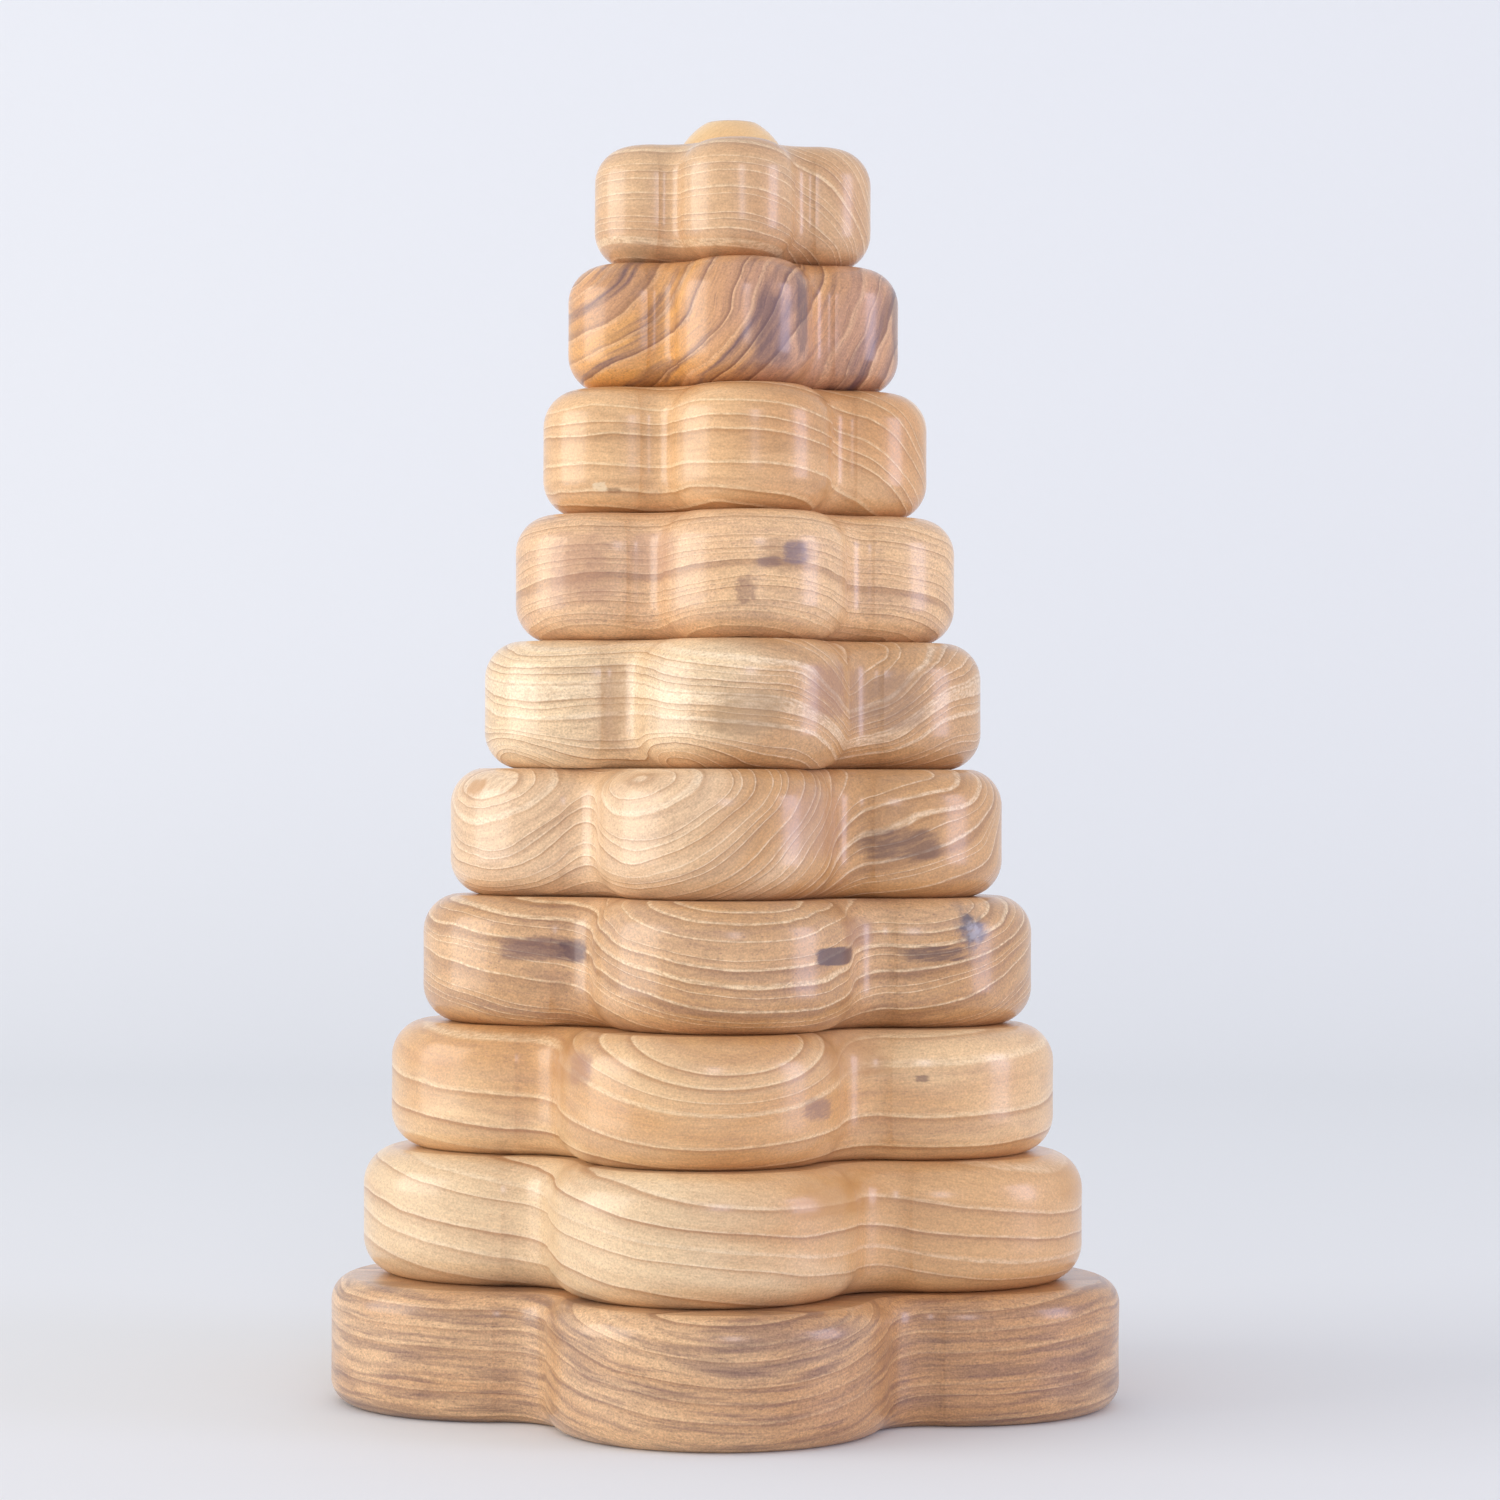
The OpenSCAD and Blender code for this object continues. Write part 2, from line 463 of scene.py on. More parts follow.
        # The push towards the heartwood spans most of the ring from left to right, the same on every
        # ring, and paints the darker, warmer shade of the right flank.
        side = add("SeparateXYZ", inputs={0: point}, out="X")
        side = add("MapRange", {"interpolation_type": "SMOOTHSTEP"},
                   {"Value": side, "From Min": -0.6 * self.reach, "From Max": 0.7 * self.reach,
                    "To Min": -f.shade_and_heartwood_right, "To Max": f.shade_and_heartwood_right})
        drift = add("Math", {"operation": "ADD"}, {0: drift, 1: side})
        drift = add("ValToRGB", {"stops": HEARTWOOD_BORDER}, {"Fac": drift})
        drift = add("Math", {"operation": "MULTIPLY"}, {0: drift, 1: HEARTWOOD_AMOUNT})
        return add("Mix", MIX, {0: drift, 6: pale, 7: warm}, 2)

    def _streaks(self, grain: Socket, colour: Socket) -> Socket:
        """Adds long stains and shorter streaks that follow the growth rings.

        Args:
            grain: the position with its height above the growth surface, in mm.
            colour: the wood's colour so far.

        Returns:
            The colour output.
        """
        f, add = self.finish, self.graph.add
        for sizes, border, amount in ((STAIN, STAIN_BORDER, f.stain_amount),
                                      (f.streak_size, STREAK_BORDER, f.streak)):
            patch = self._noise(grain, sizes, 4.0, f.seed + sizes[0])
            patch = add("ValToRGB", {"stops": border}, {"Fac": patch})
            patch = add("Math", {"operation": "MULTIPLY"}, {0: patch, 1: amount})
            colour = add("Mix", MIX, {0: patch, 6: colour, 7: linear(f.stain)}, 2)
        return colour

    def _pore_rows(self, through: Socket, fibre: Socket, colour: Socket) -> Socket:
        """Adds the row of open pores that starts each year, which looks like a pale dotted line.

        Args:
            through: how far through its year each point grew.
            fibre: the noise of the wood's fibres, which dots the line.
            colour: the wood's colour so far.

        Returns:
            The colour output.
        """
        f, add = self.finish, self.graph.add
        row = add("ValToRGB", {"stops": PORE_ROW}, {"Fac": through})
        dotted = add("MapRange", inputs={"Value": fibre, "From Min": 0.36, "From Max": 0.58,
                                         "To Min": 0.35, "To Max": 1.0})
        row = add("Math", {"operation": "MULTIPLY"}, {0: row, 1: dotted})
        row = add("Math", {"operation": "MULTIPLY"}, {0: row, 1: f.pale_line})
        return add("Mix", MIX, {0: row, 6: colour, 7: linear(f.line)}, 2)

    def _speckle(self, fibre: Socket, grit: Socket, colour: Socket) -> Socket:
        """Speckles the colour with the fibres and with the sander's tooth.

        Args:
            fibre: the noise of the wood's fibres.
            grit: the noise of the sander's tooth.
            colour: the wood's colour so far.

        Returns:
            The colour output.
        """
        add = self.graph.add
        for noise, share in ((fibre, 0.45), (grit, 0.75)):
            amount = share * self.finish.speckle
            shade = add("MapRange", inputs={
                "Value": noise, "From Min": NOISE_LOW, "From Max": NOISE_HIGH,
                "To Min": 1 - amount, "To Max": 1 + amount})
            colour = add("Mix", SHADE, {0: 1.0, 6: colour, 7: shade}, 2)
        return colour

    def _pores(self, grain: Socket) -> Socket:
        """Scatters single pores along the grain.

        Args:
            grain: the position with its height above the growth surface, in mm.

        Returns:
            Value output that says how deep in a pore each point is.
        """
        add = self.graph.add
        cell = add("Mapping", {"vector_type": "TEXTURE"}, {"Vector": grain, "Scale": PORE})
        pore = add("TexVoronoi", {"feature": "F1"}, {"Vector": cell, "Scale": 1.0}, "Distance")
        pore = add("ValToRGB", {"stops": PORE_BORDER}, {"Fac": pore})
        return add("Math", {"operation": "MULTIPLY"}, {0: pore, 1: 1.5 * self.finish.speckle})

    def _mark(self, m: Mark, point: Socket, grain: Socket, colour: Socket) -> Socket:
        """Adds one knot or stain on the ring's wall.

        Args:
            m: the mark.
            point: the position output, in mm.
            grain: the same, with its height above the growth surface.
            colour: the wood's colour so far.

        Returns:
            The colour output.
        """
        add = self.graph.add
        # Its border tears along the grain, and it runs some way into the wood.
        tears = (m.wide * 0.7, m.wide * 0.7, m.tall * 0.35)
        torn = self._noise(grain, tears, 3.0, self.finish.seed + m.up)
        torn = add("Math", {"operation": "SUBTRACT"}, {0: torn, 1: 0.5})
        bell = self._near(point, self._place(m.turn, self._skin(m.turn), m.up), m.turn,
                          (m.wide, 3 * m.wide, m.tall), m.square)
        spot = add("Math", {"operation": "MULTIPLY_ADD"}, {0: torn, 1: 2 * m.ragged, 2: bell})
        spot = add("ValToRGB", {"stops": ((0.5 - m.soft, 0.0), (0.5 + m.soft, 1.0))}, {"Fac": spot})
        # Far from the mark the torn border fades out with the bell.
        near = add("MapRange", inputs={"Value": bell, "From Min": 0.02, "From Max": 0.6})
        spot = add("Math", {"operation": "MULTIPLY"}, {0: spot, 1: near})
        spot = add("Math", {"operation": "MULTIPLY"}, {0: spot, 1: m.strength})
        return add("Mix", MIX, {0: spot, 6: colour, 7: linear(m.colour)}, 2)

    def build(self) -> bpy.types.Material:
        """Builds the material.

        Returns:
            The material, named for its wood.
        """
        f, add = self.finish, self.graph.add
        position = add("TexCoord", out="Object")
        point = add("VectorMath", {"operation": "SCALE"}, {0: position, "Scale": 1 / MM})
        level = self._growth(point)
        through, strength = self._years(level)
        # The same place with its height above the growth surface, so that streaks follow the rings.
        parts = add("SeparateXYZ", inputs={0: point}, out=None)
        grain = add("CombineXYZ", inputs={0: parts.outputs[0], 1: parts.outputs[1], 2: level})
        fibre = self._noise(grain, FIBRE, 2.0, f.seed + 6)
        grit = self._noise(point, GRIT, 2.0, f.seed + 9)
        late = self._late_wood(through, strength)
        pore = self._pores(grain)

        colour = self._heartwood(point, grain, late)
        colour = self._streaks(grain, colour)
        colour = self._pore_rows(through, fibre, colour)
        colour = self._speckle(fibre, grit, colour)
        colour = add("Mix", MIX, {0: pore, 6: colour, 7: linear(f.stain)}, 2)
        for mark in f.marks:
            colour = self._mark(mark, point, grain, colour)

        # Oil sinks in unevenly, so the shine varies a little along the fibres.
        rough = add("MapRange", inputs={
            "Value": fibre, "From Min": NOISE_LOW, "From Max": NOISE_HIGH,
            "To Min": f.surface.value - 0.05, "To Max": f.surface.value + 0.07})
        # Sanding leaves the dense late wood a few hundredths of a millimetre proud.
        height = add("Math", {"operation": "MULTIPLY_ADD"}, {0: grit, 1: 0.5, 2: late})
        height = add("Math", {"operation": "SUBTRACT"}, {0: height, 1: pore})
        bump = add("Bump", inputs={"Height": height, "Strength": RELIEF_STRENGTH,
                                   "Distance": RELIEF_MM * MM})
        shader = add("BsdfPrincipled", inputs={
            "Base Color": colour, "Roughness": rough, "Normal": bump, "IOR": OIL_IOR,
            "Coat Weight": OIL_COAT, "Coat Roughness": OIL_ROUGHNESS, "Coat IOR": OIL_IOR})
        add("OutputMaterial", inputs={"Surface": shader}, out=None)
        return self.graph.material


@dataclass
class ScallopedRing:
    """One five-lobed ring: its sizes in mm, read from its solid, and the mesh that dresses it.

    edge is the rounding of its edges, and through says whether its hole goes right through.
    sanding is how much a hand at the sander takes off the wall at most; the belt also leaves
    upright flats, flat_width apart and up to flat_depth deep, which break up the shine. Nothing
    comes off nearer to the hole than unsanded.
    """

    node: str
    body: str
    finish: WoodFinish
    edge: float = 6.0
    through: bool = True
    sanding: float = 0.16
    flat_width: float = 5.0
    flat_depth: float = 0.10
    unsanded: float = 4.0
    lobe_steps: int = 72
    hollow_steps: int = 26
    edge_steps: int = 12
    wall_steps: int = 9
    reach: float = field(init=False)
    turn: float = field(init=False)
    seat: float = field(init=False)
    thick: float = field(init=False)
    hole: float = field(init=False)

    def __post_init__(self) -> None:
        """Reads the ring's seat, thickness, reach, turn and hole from its solid."""
        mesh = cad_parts[self.node].data
        points = np.empty(len(mesh.vertices) * 3)
        mesh.vertices.foreach_get("co", points)
        points = points.reshape(-1, 3) / MM
        low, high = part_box(self.node)
        self.seat, self.thick = low[2] / MM, (high[2] - low[2]) / MM
        outward = np.hypot(points[:, 0], points[:, 1])
        self.reach = float(outward.max())
        # Only the tips of the lobes reach out this far, and the first lobe faces the front.
        tips = points[outward > self.reach - 0.01]
        angles = np.arctan2(tips[:, 1], tips[:, 0]) + math.pi / 2
        folded = (angles + HALF_PITCH) % FULL_PITCH - HALF_PITCH
        self.turn = float(np.median(folded))
        self.hole = float(outward[outward > 1.0].min())

    def _outline(self, inset: float) -> np.ndarray:
        """Draws the scalloped outline, lobe and hollow in turn.

        Args:
            inset: distance inside the ring's widest outline, in mm.

        Returns:
            Points in order round the ring, in mm.
        """
        centre = LOBE_CENTRE_SHARE * self.reach
        lobe, hollow = self.reach - centre, HOLLOW_SHARE * self.reach
        apart = lobe + hollow - HOLLOW_BITE_MM
        along_lobe, beside_lobe = centre * math.cos(HALF_PITCH), centre * math.sin(HALF_PITCH)
        far = along_lobe + math.sqrt(apart ** 2 - beside_lobe ** 2)
        near, wide = lobe - inset, hollow + inset
        # Where the lobe's circle and the hollow's circle cross.
        along = (apart ** 2 + near ** 2 - wide ** 2) / (2 * apart)
        aside = math.sqrt(max(near ** 2 - along ** 2, 0.0))
        spread = math.atan2(far * math.sin(HALF_PITCH), far * math.cos(HALF_PITCH) - centre)
        lobe_half = spread - math.atan2(aside, along)
        hollow_half = math.atan2(beside_lobe, far - along_lobe) + math.atan2(aside, apart - along)
        points = []
        for k in range(LOBES):
            facing = self.turn - math.pi / 2 + k * FULL_PITCH
            t = facing + lobe_half * np.linspace(-1, 1, self.lobe_steps, endpoint=False)
            points.append(np.stack([centre * math.cos(facing) + near * np.cos(t),
                                    centre * math.sin(facing) + near * np.sin(t)], axis=1))
            facing += HALF_PITCH
            t = facing + math.pi + hollow_half * np.linspace(1, -1, self.hollow_steps, endpoint=False)
            points.append(np.stack([far * math.cos(facing) + wide * np.cos(t),
                                    far * math.sin(facing) + wide * np.sin(t)], axis=1))
        return np.concatenate(points)

    def _circle(self, radius: float) -> np.ndarray:
        """Draws a circle with as many points as the outline has, at the same angles.

        Args:
            radius: the circle's radius, in mm.

        Returns:
            Points in order round the ring, in mm.
        """
        around = self._outline(0.0)
        angle = np.arctan2(around[:, 1], around[:, 0])
        return radius * np.stack([np.cos(angle), np.sin(angle)], axis=1)

    def _rows(self) -> list[np.ndarray]:
        """Lays the ring's surface out in rows, from the hole's lower mouth round to its upper one.

        Returns:
            Rows with the same number of points, in mm.
        """
        turns = np.linspace(0, math.pi / 2 - RUN_OUT, self.edge_steps)
        insets = [self.edge * (1 - math.cos(t)) for t in turns]
        rises = [self.edge * math.sin(t) for t in turns]
        # The wall's upright part starts here, and ends as far below the top.
        wall_from = self.edge * math.cos(RUN_OUT)
        wall = self.thick - 2 * wall_from
        mouth = self._circle(self.hole + HOLE_BEVEL_MM)
        bore = self._circle(self.hole)
        rim = self._outline(insets[-1])

        # Each layer is a closed line and its height above the seat.
        layers = [(bore, HOLE_BEVEL_MM) if self.through else (self._circle(CENTRE_MM), 0.0)]
        layers += [(mouth * (1 - share) + rim * share, 0.0) for share in FACE_ROWS]
        edge = [(self._outline(inset), wall_from - rise) for inset, rise in zip(insets, rises)]
        layers += reversed(edge)
        layers += [(self._outline(0.0), wall_from + share * wall)
                   for share in np.linspace(0, 1, self.wall_steps)[1:-1]]
        layers += [(self._outline(inset), self.thick - wall_from + rise)
                   for inset, rise in zip(insets, rises)]
        layers += [(mouth * (1 - share) + rim * share, self.thick) for share in reversed(FACE_ROWS)]
        layers.append((bore, self.thick - HOLE_BEVEL_MM))
        if not self.through:
            # The peg fills the rest of a blind hole.
            layers.append((bore, self.thick * 0.5))
        rows = [np.column_stack([line, np.full(len(line), self.seat + z)]) for line, z in layers]
        self._sand(rows)
        return rows

    def _sand(self, rows: list[np.ndarray]) -> None:
        """Takes up to a quarter of a millimetre off the walls, unevenly, as sanding by hand does.

        Args:
            rows: the surface's rows of points, which are moved.
        """
        # Each ring's own size seeds its unevenness, which is then the same each time.
        rng = np.random.default_rng(int(self.reach * 10))
        phases = rng.uniform(0, 2 * math.pi, (len(HAND_WAVES), 2))
        flats = int(2 * math.pi * self.reach / self.flat_width)
        knots = np.linspace(-math.pi, math.pi, flats + 1)
        # Each flat starts up to a third of its width early or late.
        knots[1:-1] += rng.uniform(-0.35, 0.35, flats - 1) * (knots[1] - knots[0])
        depths = rng.uniform(0, self.flat_depth, flats + 1)
        depths[-1] = depths[0]
        for row in rows:
            up = (row[:, 2] - self.seat) / self.thick
            # Most comes off half-way up the wall and nothing off the faces.
            steep = np.sin(np.clip(up, 0, 1) * math.pi) ** 0.7
            angle = np.arctan2(row[:, 1], row[:, 0])
            wave = sum(np.sin(n * angle + a) * np.cos(h * (row[:, 2] - self.seat) + b)
                       for (n, h), (a, b) in zip(HAND_WAVES, phases)) / len(HAND_WAVES)
            outward = np.hypot(row[:, 0], row[:, 1])
            wall = np.clip((outward - self.hole - self.unsanded) / self.unsanded, 0, 1)
            # The hand takes off from a tenth of the sanding to all of it.
            take = self.sanding * (0.55 + 0.45 * wave) + np.interp(angle, knots, depths)
            row[:, :2] *= (1 - take * steep * wall / np.maximum(outward, 1.0))[:, None]

    def build(self) -> bpy.types.Object:
        """Builds the ring's mesh, dresses it and hands it to its body.

        Returns:
            The ring's object.
        """
        rows = self._rows()
        count, around = len(rows), len(rows[0])
        faces = []
        for j in range(count if self.through else count - 1):
            a, b = j * around, ((j + 1) % count) * around
            for i in range(around):
                n = (i + 1) % around
                faces.append((a + i, a + n, b + n, b + i))
        if not self.through:
            faces.append(tuple(reversed(range(around))))
            faces.append(tuple(range((count - 1) * around, count * around)))
        vertices = (np.concatenate(rows) * MM).tolist()
        ring = make_object(self.node + "_wood", vertices, faces, RING_CREASE)
        wood = Wood(self.finish, self.reach, self.seat + self.thick / 2, self.turn)
        ring.data.materials.append(wood.build())
        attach(ring, self.body)
        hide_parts(self.node)
        LOG.info("%s: %s, reach %.1f mm, %d faces", self.node, self.finish.name, self.reach, len(faces))
        return ring


@dataclass
class Peg:
    """The dowel, with a tip that was pared by hand. Sizes in mm.

    tip is how far down and inward its tip is pared, and pared how much that tip is a cone, from 0
    for a round one to 1.
    """

    finish: WoodFinish
    tip: float = 3.8
    pared: float = 0.7
    foot_bevel: float = 1.0
    tip_steps: int = 10
    steps: int = 96

    def _profile(self, radius: float, foot: float, top: float) -> list[tuple[float, float]]:
        """Draws the peg's outline from its foot to its tip.

        Args:
            radius: the peg's radius.
            foot: height of its buried end.
            top: height of its tip.

        Returns:
            Points, each a distance from the axis and a height.
        """
        # Rows about every 40 mm up the straight shaft, the last just under the tip.
        shaft = [foot + self.foot_bevel, foot + 40]
        shaft += np.linspace(foot + 80, top - self.tip - 0.5, 4).tolist()
        profile = [(CENTRE_MM, foot), (radius - self.foot_bevel, foot)]
        profile += [(radius, z) for z in shaft]
        for share in np.linspace(0, 1, self.tip_steps):
            t = share * math.pi / 2
            inward = self.pared * share + (1 - self.pared) * (1 - math.cos(t))
            rise = self.pared * share + (1 - self.pared) * math.sin(t)
            profile.append((radius - self.tip * inward, top - self.tip * (1 - rise)))
        # A row just inside the end's rim keeps its shading flat.
        return profile + [(radius - self.tip - 0.6, top), (CENTRE_MM, top)]

    def build(self) -> bpy.types.Object:
        """Builds the peg's mesh, dresses it and hands it to the foot's body.

        Returns:
            The peg's object.
        """
        low, high = (Vector(corner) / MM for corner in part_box("peg"))
        radius, foot, top = high.x, low.z, high.z
        profile = self._profile(radius, foot, top)
        angles = np.linspace(0, 2 * math.pi, self.steps, endpoint=False)
        vertices = [(r * math.cos(a) * MM, r * math.sin(a) * MM, z * MM)
                    for r, z in profile for a in angles]
        n = self.steps
        faces = [(j * n + i, j * n + (i + 1) % n, (j + 1) * n + (i + 1) % n, (j + 1) * n + i)
                 for j in range(len(profile) - 1) for i in range(n)]
        faces.append(tuple(reversed(range(n))))
        faces.append(tuple(range((len(profile) - 1) * n, len(profile) * n)))
        peg = make_object("peg_wood", vertices, faces, PEG_CREASE)
        peg.data.materials.append(Wood(self.finish, radius, (foot + top) / 2, 0.0).build())
        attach(peg, "foot")
        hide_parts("peg")
        LOG.info("peg: %s, %.1f mm across", self.finish.name, 2 * radius)
        return peg


@dataclass(frozen=True)
class Window:
    """A rectangular area lamp: its place and size in metres, its watts and its sRGB hex colour."""

    name: str
    place: tuple[float, float, float]
    size: tuple[float, float]
    power: float
    colour: str


@dataclass(frozen=True)
class Studio:
    """A white sweep in a bright room with three windows, and the camera. Sizes in metres."""

    floor_half_width: float = 0.55
    floor_front: float = -0.62
    floor_rows: tuple[float, float] = (-0.2, 0.2)
    wall_at: float = 1.1
    wall_top: float = 1.3
    bend: float = 0.45
    bend_steps: int = 24
    paper: str = "e8ebef"
    room: str = "f0f0f2"
    room_strength: float = 0.86
    aim: tuple[float, float, float] = (0.0, 0.0, 0.1)
    windows: tuple[Window, ...] = (
        Window("left window", (-1.15, -0.25, 0.28), (0.9, 1.1), 9.6, "fffaf6"),
        Window("right window", (1.20, -0.35, 0.30), (0.45, 0.8), 5.0, "e4e0ff"),
        Window("window behind the camera", (0.25, -1.6, 0.55), (0.30, 0.5), 3.0, "e8e8ff"))
    lens_mm: float = 96.8
    sensor_mm: float = 36.0
    shift: tuple[float, float] = (0.0139, 0.0120)
    camera_place: tuple[float, float, float] = (0.0, -0.6513, 0.0992)
    # The camera looks level, but for a tilt up and a roll of a fraction of a degree.
    tilt: float = 0.0017
    roll: float = -0.0033
    clip_from: float = 0.02

    def sweep(self) -> None:
        """Builds the paper sweep that is both floor and backdrop."""
        floor_end = self.wall_at - self.bend
        path = [(y, 0.0) for y in (self.floor_front, *self.floor_rows, floor_end)]
        for t in np.linspace(0, math.pi / 2, self.bend_steps)[1:]:
            path.append((floor_end + self.bend * math.sin(t), self.bend * (1 - math.cos(t))))
        path.append((self.wall_at, self.wall_top))
        vertices = [(x, y, z) for y, z in path for x in (-self.floor_half_width, self.floor_half_width)]
        faces = [(2 * i, 2 * i + 1, 2 * i + 3, 2 * i + 2) for i in range(len(path) - 1)]
        sweep = make_object("sweep", vertices, faces)
        sweep.data.materials.append(self._paper())

    def _paper(self) -> bpy.types.Material:
        """Makes matt backdrop paper: an even, dull white whose tooth of about 1 mm hardly shows.

        Returns:
            The material.
        """
        graph = Graph("matt white backdrop paper")
        point = graph.add("TexCoord", out="Object")
        tooth = graph.add("TexNoise", inputs={"Vector": point, "Scale": 900.0, "Detail": 2.0})
        bump = graph.add("Bump", inputs={"Height": tooth, "Strength": 0.2, "Distance": 0.05 * MM})
        shader = graph.add("BsdfPrincipled", inputs={
            "Base Color": linear(self.paper), "Roughness": 0.9, "Normal": bump,
            "Specular IOR Level": 0.2})
        graph.add("OutputMaterial", inputs={"Surface": shader}, out=None)
        return graph.material

    def light(self, window: Window) -> None:
        """Adds a window that faces the tower.

        Args:
            window: the window.
        """
        data = bpy.data.lights.new(window.name, "AREA")
        data.shape = "RECTANGLE"
        data.size, data.size_y = window.size
        data.energy = window.power
        data.color = linear(window.colour)[:3]
        lamp = bpy.data.objects.new(window.name, data)
        lamp.location = window.place
        towards = Vector(self.aim) - Vector(window.place)
        lamp.rotation_euler = towards.to_track_quat("-Z", "Y").to_euler()
        bpy.context.scene.collection.objects.link(lamp)

    def world(self) -> None:
        """Lights the room evenly with the daylight that its white walls give back."""
        world = bpy.data.worlds.new("bright room")
        world.use_nodes = True
        background = world.node_tree.nodes["Background"]
        background.inputs["Color"].default_value = linear(self.room)
        background.inputs["Strength"].default_value = self.room_strength
        bpy.context.scene.world = world

    def camera(self) -> None:
        """Sets the camera in front of the tower, level with its middle."""
        data = bpy.data.cameras.new("camera")
        data.lens, data.sensor_width = self.lens_mm, self.sensor_mm
        data.shift_x, data.shift_y = self.shift
        data.clip_start = self.clip_from
        camera = bpy.data.objects.new("camera", data)
        camera.location = self.camera_place
        camera.rotation_euler = (math.pi / 2 + self.tilt, self.roll, 0.0)
        bpy.context.scene.collection.objects.link(camera)
        bpy.context.scene.camera = camera

    def build(self) -> None:
        """Builds the sweep, the windows, the room's light and the camera."""
        self.sweep()
        for window in self.windows:
            self.light(window)
            LOG.info("%s: %.1f W", window.name, window.power)
        self.world()
        self.camera()
        bpy.context.scene.view_settings.view_transform = "Standard"


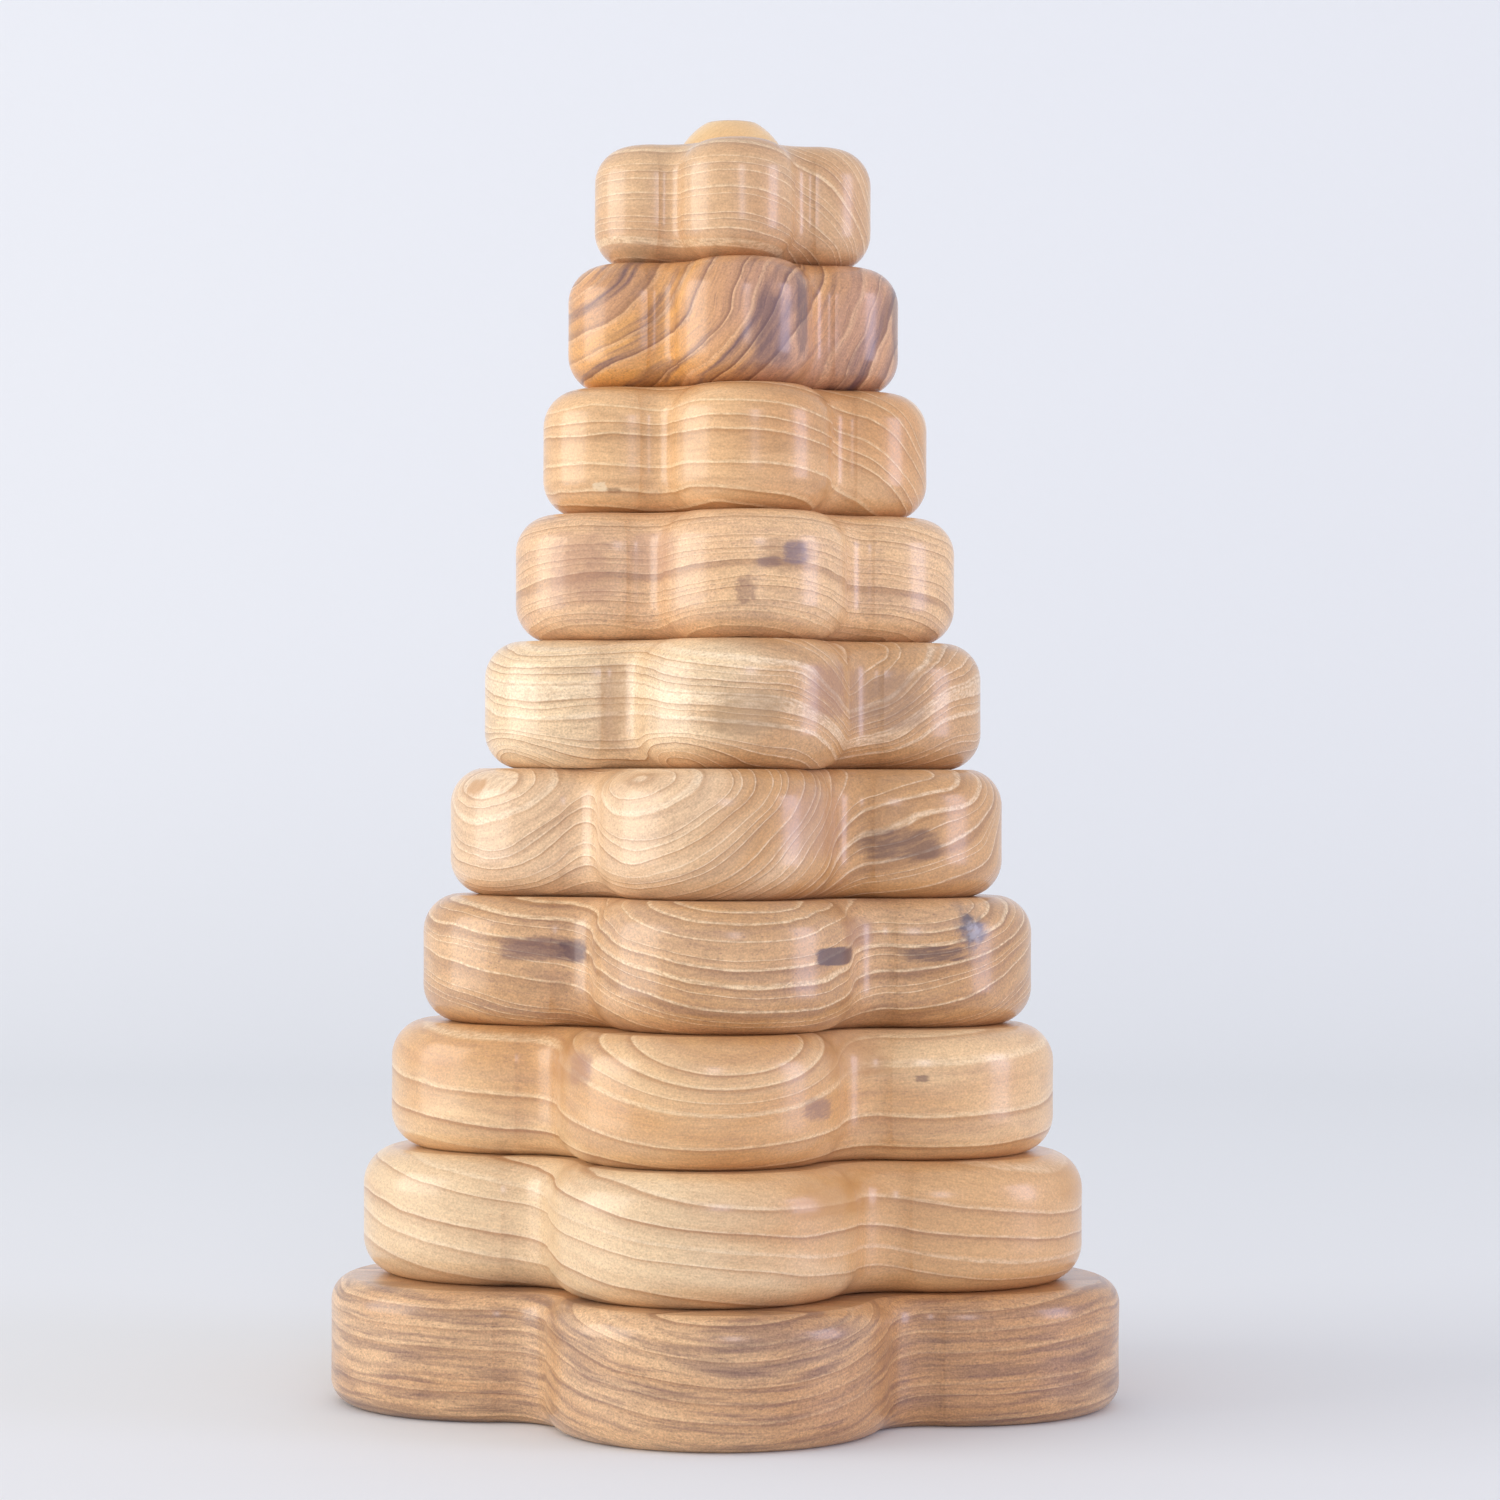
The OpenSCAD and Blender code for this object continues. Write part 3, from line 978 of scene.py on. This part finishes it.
FINISHES = {
    # Walnut: the darkest board, brown with close, level, dark streaks, and arches on its front lobe.
    "base_ring": WoodFinish(
        "oiled walnut, sanded", early="e4ba8c", late="9c6e4a", line="ecca9c", stain="6f4c46",
        warm="c39060", spacing=3.2, rise_right=0.01, rise_front=-0.10, warp=1.0, line_depth=0.75,
        pale_line=0.2, stain_amount=0.5, streak=0.55, streak_size=(15.0, 12.0, 0.9), speckle=0.28,
        shade_and_heartwood_right=0.12, seed=1.0,
        swirls=(Swirl(3.0, 60.0, 8.0, 5.5, 26.0, 18.0, 30.0),),
        marks=(Mark(66.0, -5.0, 12.0, 2.4, "6f4d45", 0.45, 1.2),
               Mark(-66.0, -9.0, 16.0, 1.6, "6f4d45", 0.4))),
    # Ash: cream, with a few lines far apart that sink to the right, and warmer at its right, partly as
    # painted shade.
    "ring_02": WoodFinish(
        "oiled ash, sanded", early="edcfa4", late="b08056", line="f4e0c2", stain="a8744c",
        warm="dcab74", spacing=4.0, rise_right=-0.14, rise_front=-0.10, warp=1.0, line_depth=0.85,
        pale_line=0.35, stain_amount=0.16, streak=0.12, speckle=0.18, shade_and_heartwood_right=0.28, seed=2.3,
        marks=(Mark(20.0, 6.0, 10.0, 3.6, "c48c4c", 0.7), Mark(70.0, 6.0, 10.0, 3.0, "c48c4c", 0.5))),
    # Elm: honey-coloured and calm, with arches on its front lobe and two small dull knots.
    "ring_03": WoodFinish(
        "oiled elm, sanded", early="edc796", late="b07c4c", line="f7deb4", stain="96685a",
        warm="d7a36a", spacing=5.0, rise_right=-0.02, rise_front=-0.12, warp=0.8, line_depth=0.8,
        pale_line=0.5, stain_amount=0.18, streak=0.15, speckle=0.18, seed=3.4,
        swirls=(Swirl(0.0, 54.0, 9.0, 13.0, 22.0, 17.0, 12.0),),
        marks=(Mark(-26.7, 4.9, 2.8, 2.6, "8f6060", 0.5), Mark(16.5, -1.0, 2.8, 1.8, "86605c", 0.6),
               Mark(39.5, 2.9, 0.9, 0.6, "7a5a4c", 0.7), Mark(-33.0, 5.0, 7.0, 3.4, "b98350", 0.6),
               Mark(26.0, 6.0, 7.0, 3.4, "b98350", 0.6))),
    # Elm: a duller tan with pale lines, dark stains cut off square by the belt, and a grey knot.
    "ring_04": WoodFinish(
        "oiled elm, machine sanded", early="e0b586", late="9e7048", line="f2d8b0", stain="7c5450",
        warm="c4935e", spacing=2.0, rise_right=-0.08, rise_front=-0.26, warp=1.4, line_depth=0.65,
        pale_line=0.75, stain_amount=0.25, streak=0.2, speckle=0.24, seed=4.2,
        swirls=(Swirl(82.0, 48.0, 0.0, -9.0, 22.0, 22.0, 40.0),),
        marks=(Mark(-47.0, 2.2, 4.2, 2.0, "6c4a4c", 0.7), Mark(-39.0, 2.0, 2.6, 2.0, "5a3a40", 0.85),
               Mark(22.0, 1.7, 4.8, 1.5, "58424a", 0.85, 0.4, 0.14),
               Mark(54.0, 5.2, 2.5, 3.4, "545060", 0.85, 1.2, square=False),
               Mark(54.0, 5.0, 1.2, 1.7, "a29ca2", 0.65, 1.6, square=False),
               Mark(47.0, 1.6, 4.4, 1.3, "5c4040", 0.7, 1.6),
               Mark(30.0, 5.0, 4.5, 2.6, "a07664", 0.55))),
    # Cherry, cut aslant: pale at its left, pinkish at its right, partly as painted shade, with ovals and
    # lines that climb.
    "ring_05": WoodFinish(
        "oiled cherry, sanded", early="eecba2", late="a8774a", line="f8e2c2", stain="8f664e",
        warm="cf9c64", spacing=2.5, rise_right=0.80, rise_front=-0.85, warp=1.8, line_depth=0.65,
        pale_line=0.6, stain_amount=0.25, streak=0.15, speckle=0.2, shade_and_heartwood_right=0.32, seed=5.6,
        swirls=(Swirl(68.0, 50.0, 0.0, 21.0, 20.0, 20.0, 40.0),),
        marks=(Mark(44.0, -1.7, 5.4, 2.6, "6e4c40", 0.75, 1.1), Mark(-66.0, 7.0, 2.4, 1.4, "c8935c", 0.7),
               Mark(20.0, 2.0, 7.0, 6.0, "b08678", 0.35))),
    # Ash: the palest board, with fine level lines, small eyes low on it and a grey cast at its right.
    "ring_06": WoodFinish(
        "oiled ash, hand sanded", early="f2d4aa", late="a8784a", line="fae6c8", stain="98755a",
        warm="cf9f6c", spacing=2.0, rise_right=0.0, rise_front=-0.14, warp=2.0, line_depth=0.8,
        pale_line=0.5, stain_amount=0.25, streak=0.15, speckle=0.24, shade_and_heartwood_right=0.34, seed=6.4,
        swirls=(Swirl(-13.6, 41.0, -9.5, -7.0, 9.0, 10.0, 4.5),
                Swirl(-60.0, 40.0, -9.5, -7.0, 8.0, 9.0, 4.5),
                Swirl(38.0, 34.0, 0.0, 11.0, 11.0, 12.0, 14.0)),
        marks=(Mark(4.5, -1.8, 6.0, 3.8, "a5845f", 0.5, 1.4),
               Mark(24.0, 2.0, 4.5, 4.5, "9c6c58", 0.55, 1.2),
               Mark(-34.0, 0.0, 2.4, 7.0, "b08256", 0.5), Mark(46.0, 1.0, 7.0, 5.0, "9c7a66", 0.5, 1.4))),
    # Pear: pinkish, with lines so close that they look like a haze, and one purple-brown knot.
    "ring_07": WoodFinish(
        "oiled pear, sanded", early="e8bd90", late="a5754a", line="f4d6aa", stain="86625c",
        warm="eec492", spacing=1.3, rise_right=-0.02, rise_front=0.22, warp=1.4, line_depth=0.7,
        pale_line=0.45, stain_amount=0.2, streak=0.2, speckle=0.24, shade_and_heartwood_right=0.25, seed=7.9,
        marks=(Mark(14.0, 2.6, 4.5, 2.4, "a27858", 0.6, 1.2), Mark(16.3, 3.1, 2.2, 1.9, "6e5e70", 0.65),
               Mark(9.5, 1.6, 2.0, 0.9, "7a5a56", 0.6, 1.2),
               Mark(4.0, -2.8, 1.6, 2.2, "80584a", 0.55, 1.4),
               Mark(-45.0, 1.0, 5.0, 6.0, "aa7a68", 0.45), Mark(-24.0, 3.0, 5.0, 4.0, "b88c7c", 0.4))),
    # Alder: an even honey colour, with level lines that bend round a branch at its right.
    "ring_08": WoodFinish(
        "oiled alder, sanded", early="e9bd8a", late="b07a46", line="f6dcb0", stain="a5784a",
        warm="d7a068", spacing=3.0, rise_right=-0.04, rise_front=0.04, warp=1.4, line_depth=0.7,
        pale_line=0.6, stain_amount=0.4, streak=0.2, speckle=0.18, shade_and_heartwood_right=0.12, seed=8.8,
        swirls=(Swirl(92.0, 42.0, -4.0, 20.0, 20.0, 18.0, 26.0),),
        marks=(Mark(-44.6, -6.0, 1.1, 0.8, "f0dcb8", 0.6, 1.4, 0.3),
               Mark(-41.0, -6.6, 1.0, 0.5, "8c6238", 0.6, 1.2))),
    # Olive wood: the strongest figure, orange and purple-brown bands that curve round a pith.
    "ring_09": WoodFinish(
        "oiled olive wood, sanded", early="e6a85e", late="764837", line="eec498", stain="5a3e4c",
        warm="cb9a7c", spacing=4.2, rise_right=0.0, rise_front=0.25, warp=2.2, line_depth=0.8,
        pale_line=0.4, stain_amount=0.8, streak=0.2, speckle=0.2, shade_and_heartwood_right=0.15,
        pith=(-30.0, 17.0), seed=9.3,
        marks=(Mark(14.0, -2.0, 3.4, 6.0, "5e4552", 0.6, 1.2),
               Mark(27.0, 1.0, 1.5, 7.0, "563e4a", 0.6, 1.2),
               Mark(76.0, 1.0, 1.8, 6.0, "563e4a", 0.5, 1.6))),
    # Elm: tan with fine pale lines, which bend round a branch at its right.
    "ring_10": WoodFinish(
        "oiled elm, hand sanded", early="e2bc90", late="a37658", line="f6dcb4", stain="98765e",
        warm="d2a272", spacing=1.7, rise_right=-0.03, rise_front=0.06, warp=1.2, line_depth=0.6,
        pale_line=0.6, stain_amount=0.25, streak=0.15, speckle=0.18, shade_and_heartwood_right=0.1, seed=10.7,
        swirls=(Swirl(88.0, 34.0, -4.0, 26.0, 18.0, 16.0, 30.0),)),
    # Birch: yellowish and almost without figure, and smoother than the rings.
    "peg": WoodFinish(
        "birch dowel, turned and sanded", early="f4d19a", late="deb06e", line="f4d8a6", stain="c8985a",
        warm="eec288", spacing=5.0, rise_right=0.9, rise_front=0.6, warp=1.0, line_depth=0.2,
        pale_line=0.1, stain_amount=0.05, streak=0.08, speckle=0.10, surface=Surface.WAXED, seed=11.0),
}


def main() -> None:
    """Builds the foot, the peg, the loose rings and the studio, in that order."""
    logging.basicConfig(level=logging.INFO, format="%(message)s")
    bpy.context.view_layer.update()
    ScallopedRing("base_ring", "foot", FINISHES["base_ring"], edge=4.0, through=False).build()
    Peg(FINISHES["peg"]).build()
    for number in range(2, 11):
        name = f"ring_{number:02d}"
        ScallopedRing(name, name, FINISHES[name]).build()
    Studio().build()


if __name__ == "__main__":
    main()
